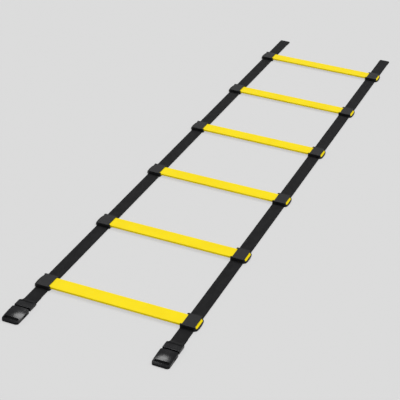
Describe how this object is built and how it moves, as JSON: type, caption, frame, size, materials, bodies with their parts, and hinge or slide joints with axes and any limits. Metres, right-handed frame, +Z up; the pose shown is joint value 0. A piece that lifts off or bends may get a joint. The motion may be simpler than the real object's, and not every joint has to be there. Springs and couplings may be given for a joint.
{
  "type": "agility ladder",
  "caption": "Flat training ladder that lies on the ground: flat rungs clipped across two webbing straps, with side-release buckles at one end.",
  "frame": {"origin": "on the floor, in the middle of the ladder's length and width", "axes": "+Y along the ladder from the buckles towards the sewn ends, +X across it, +Z up from the floor"},
  "size_m": [0.4872, 2.32, 0.0139],
  "materials": {
    "rung_plastic": "satin yellow moulded plastic",
    "clip_plastic": "fine-grained black moulded plastic",
    "buckle_plastic": "glossy black moulded plastic",
    "webbing": "plain woven black webbing"
  },
  "bodies": {
    "panel_1": {"strap_left_1": "webbing", "strap_right_1": "webbing"},
    "panel_2": {"strap_left_2": "webbing", "strap_right_2": "webbing"},
    "panel_3": {"strap_left_3": "webbing", "strap_right_3": "webbing"},
    "panel_4": {"strap_left_4": "webbing", "strap_right_4": "webbing"},
    "panel_5": {"strap_left_5": "webbing", "strap_right_5": "webbing"},
    "panel_6": {"strap_left_6": "webbing", "strap_right_6": "webbing"},
    "rung_carrier_1": {"rung_1": "rung_plastic", "clip_left_1": "clip_plastic", "clip_right_1": "clip_plastic"},
    "rung_carrier_2": {"rung_2": "rung_plastic", "clip_left_2": "clip_plastic", "clip_right_2": "clip_plastic"},
    "rung_carrier_3": {"rung_3": "rung_plastic", "clip_left_3": "clip_plastic", "clip_right_3": "clip_plastic"},
    "rung_carrier_4": {"rung_4": "rung_plastic", "clip_left_4": "clip_plastic", "clip_right_4": "clip_plastic"},
    "rung_carrier_5": {"rung_5": "rung_plastic", "clip_left_5": "clip_plastic", "clip_right_5": "clip_plastic"},
    "rung_carrier_6": {"rung_6": "rung_plastic", "clip_left_6": "clip_plastic", "clip_right_6": "clip_plastic"},
    "buckle_left": {"buckle_plug_left": "buckle_plastic", "buckle_socket_left": "buckle_plastic"},
    "prong_left_a": {"buckle_prong_left_a": "buckle_plastic"},
    "prong_left_b": {"buckle_prong_left_b": "buckle_plastic"},
    "buckle_right": {"buckle_plug_right": "buckle_plastic", "buckle_socket_right": "buckle_plastic"},
    "prong_right_a": {"buckle_prong_right_a": "buckle_plastic"},
    "prong_right_b": {"buckle_prong_right_b": "buckle_plastic"}
  },
  "joints": [
    {"name": "fold_1", "type": "hinge", "parent": "panel_1", "child": "panel_2", "pos_m": [0, -0.76, 0.00375], "axis": [1, 0, 0], "range_deg": [0, 165]},
    {"name": "fold_2", "type": "hinge", "parent": "panel_2", "child": "panel_3", "pos_m": [0, -0.38, 0.00195], "axis": [-1, 0, 0], "range_deg": [0, 165]},
    {"name": "fold_3", "type": "hinge", "parent": "panel_3", "child": "panel_4", "pos_m": [0, 0, 0.00375], "axis": [1, 0, 0], "range_deg": [0, 165]},
    {"name": "fold_4", "type": "hinge", "parent": "panel_4", "child": "panel_5", "pos_m": [0, 0.38, 0.00195], "axis": [-1, 0, 0], "range_deg": [0, 165]},
    {"name": "fold_5", "type": "hinge", "parent": "panel_5", "child": "panel_6", "pos_m": [0, 0.76, 0.00375], "axis": [1, 0, 0], "range_deg": [0, 165]},
    {"name": "rung_slide_1", "type": "slide", "parent": "panel_1", "child": "rung_carrier_1", "axis": [0, 1, 0], "range_m": [-0.038, 0.075]},
    {"name": "rung_slide_2", "type": "slide", "parent": "panel_2", "child": "rung_carrier_2", "axis": [0, 1, 0], "range_m": [-0.075, 0.075]},
    {"name": "rung_slide_3", "type": "slide", "parent": "panel_3", "child": "rung_carrier_3", "axis": [0, 1, 0], "range_m": [-0.075, 0.075]},
    {"name": "rung_slide_4", "type": "slide", "parent": "panel_4", "child": "rung_carrier_4", "axis": [0, 1, 0], "range_m": [-0.075, 0.075]},
    {"name": "rung_slide_5", "type": "slide", "parent": "panel_5", "child": "rung_carrier_5", "axis": [0, 1, 0], "range_m": [-0.075, 0.075]},
    {"name": "rung_slide_6", "type": "slide", "parent": "panel_6", "child": "rung_carrier_6", "axis": [0, 1, 0], "range_m": [-0.075, 0.075]},
    {"name": "buckle_swing_left", "type": "hinge", "parent": "panel_1", "child": "buckle_left", "pos_m": [-0.215, -1.0583, 0.0043], "axis": [1, 0, 0], "range_deg": [-120, 0]},
    {"name": "prong_squeeze_left_a", "type": "hinge", "parent": "buckle_left", "child": "prong_left_a", "pos_m": [-0.229, -1.0987, 0.0061], "axis": [0, 0, 1], "range_deg": [0, 16], "stiffness_Nm_per_rad": 0.5},
    {"name": "prong_squeeze_left_b", "type": "hinge", "parent": "buckle_left", "child": "prong_left_b", "pos_m": [-0.201, -1.0987, 0.0061], "axis": [0, 0, 1], "range_deg": [-16, 0], "stiffness_Nm_per_rad": 0.5},
    {"name": "buckle_swing_right", "type": "hinge", "parent": "panel_1", "child": "buckle_right", "pos_m": [0.215, -1.0583, 0.0043], "axis": [1, 0, 0], "range_deg": [-120, 0]},
    {"name": "prong_squeeze_right_a", "type": "hinge", "parent": "buckle_right", "child": "prong_right_a", "pos_m": [0.201, -1.0987, 0.0061], "axis": [0, 0, 1], "range_deg": [0, 16], "stiffness_Nm_per_rad": 0.5},
    {"name": "prong_squeeze_right_b", "type": "hinge", "parent": "buckle_right", "child": "prong_right_b", "pos_m": [0.229, -1.0987, 0.0061], "axis": [0, 0, 1], "range_deg": [-16, 0], "stiffness_Nm_per_rad": 0.5}
  ],
  "couplings": [
    {"joint": "prong_squeeze_left_b", "follows": "prong_squeeze_left_a", "ratio": -1},
    {"joint": "prong_squeeze_right_b", "follows": "prong_squeeze_right_a", "ratio": -1}
  ]
}
